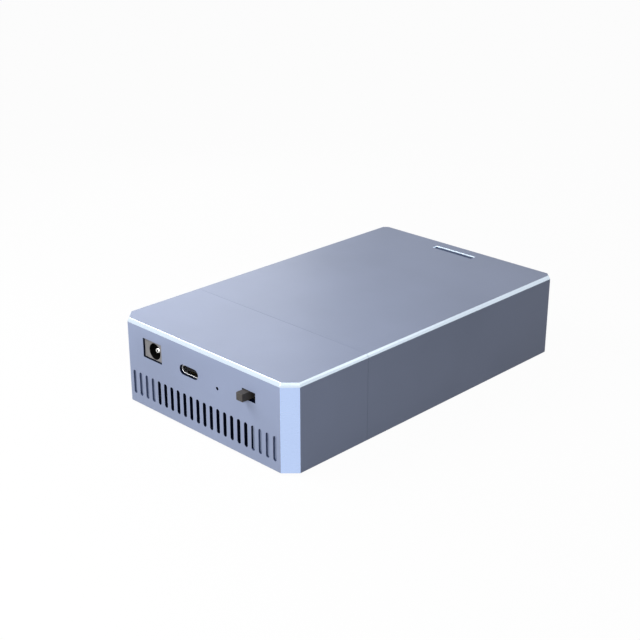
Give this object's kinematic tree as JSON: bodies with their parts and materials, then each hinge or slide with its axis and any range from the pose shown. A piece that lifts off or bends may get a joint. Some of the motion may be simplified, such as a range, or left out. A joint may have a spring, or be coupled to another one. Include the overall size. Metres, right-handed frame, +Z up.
{
  "type": "nvme ssd enclosure",
  "caption": "Mains-adapter powered aluminium enclosure for a 2.5-inch U.2 NVMe drive, with slotted port panel, slide switch and a cover that slides off rearwards.",
  "frame": {"origin": "centre of the footprint, switch knob included, on the surface the feet stand on", "axes": "+X to the right seen from the ports, +Y from the port panel to the rear wall, +Z up"},
  "size_m": [0.086, 0.144, 0.0328],
  "materials": {
    "anodised_blue_grey": "satin anodised, rim bevel cut bright",
    "tray_grey": "satin anodised",
    "zinc_steel": "zinc plated",
    "black_rubber": "matt",
    "spring_steel": "bright rolled",
    "board_green": "solder mask",
    "brass": "bright",
    "jack_grey": "moulded",
    "nickel": "nickel plated",
    "contact_gold": "gold flash",
    "steel_shell": "drawn steel",
    "tongue_black": "moulded",
    "knob_grey": "moulded",
    "switch_brown": "phenolic",
    "led_clear": "clear moulded",
    "chip_black": "moulded package",
    "tape_grey": "soft thermal tape",
    "sink_black": "black anodised",
    "can_silver": "drawn can",
    "inductor_grey": "pressed powder",
    "ceramic_tan": "fired ceramic",
    "resistor_black": "fired ceramic"
  },
  "bodies": {
    "housing": {"front_shell": "anodised_blue_grey", "base_tray": "tray_grey", "tray_screws": "zinc_steel", "rubber_feet": "black_rubber", "cover_springs": "spring_steel", "main_board": "board_green", "board_standoffs": "brass", "board_screws": "zinc_steel", "dc_jack_housing": "jack_grey", "dc_jack_pin": "nickel", "dc_jack_contacts": "nickel", "usb_c_shell": "steel_shell", "usb_c_tongue": "tongue_black", "usb_c_contacts": "contact_gold", "switch_frame": "steel_shell", "switch_base": "switch_brown", "switch_terminals": "nickel", "status_led": "led_clear", "bridge_chip": "chip_black", "thermal_tape": "tape_grey", "heat_sink": "sink_black", "flash_chip": "chip_black", "crystal": "can_silver", "regulators": "chip_black", "power_inductors": "inductor_grey", "bulk_capacitors": "can_silver", "ceramic_capacitors": "ceramic_tan", "chip_resistors": "resistor_black", "drive_receptacle": "tongue_black", "drive_contacts": "contact_gold"},
    "cover": {"sliding_cover": "anodised_blue_grey"},
    "knob": {"switch_knob": "knob_grey", "switch_wiper": "contact_gold"}
  },
  "joints": [
    {"name": "cover_slide", "type": "slide", "parent": "housing", "child": "cover", "axis": [0, 1, 0], "range_m": [0, 0.1]},
    {"name": "switch_slide", "type": "slide", "parent": "housing", "child": "knob", "axis": [1, 0, 0], "range_m": [0, 0.0025]}
  ]
}
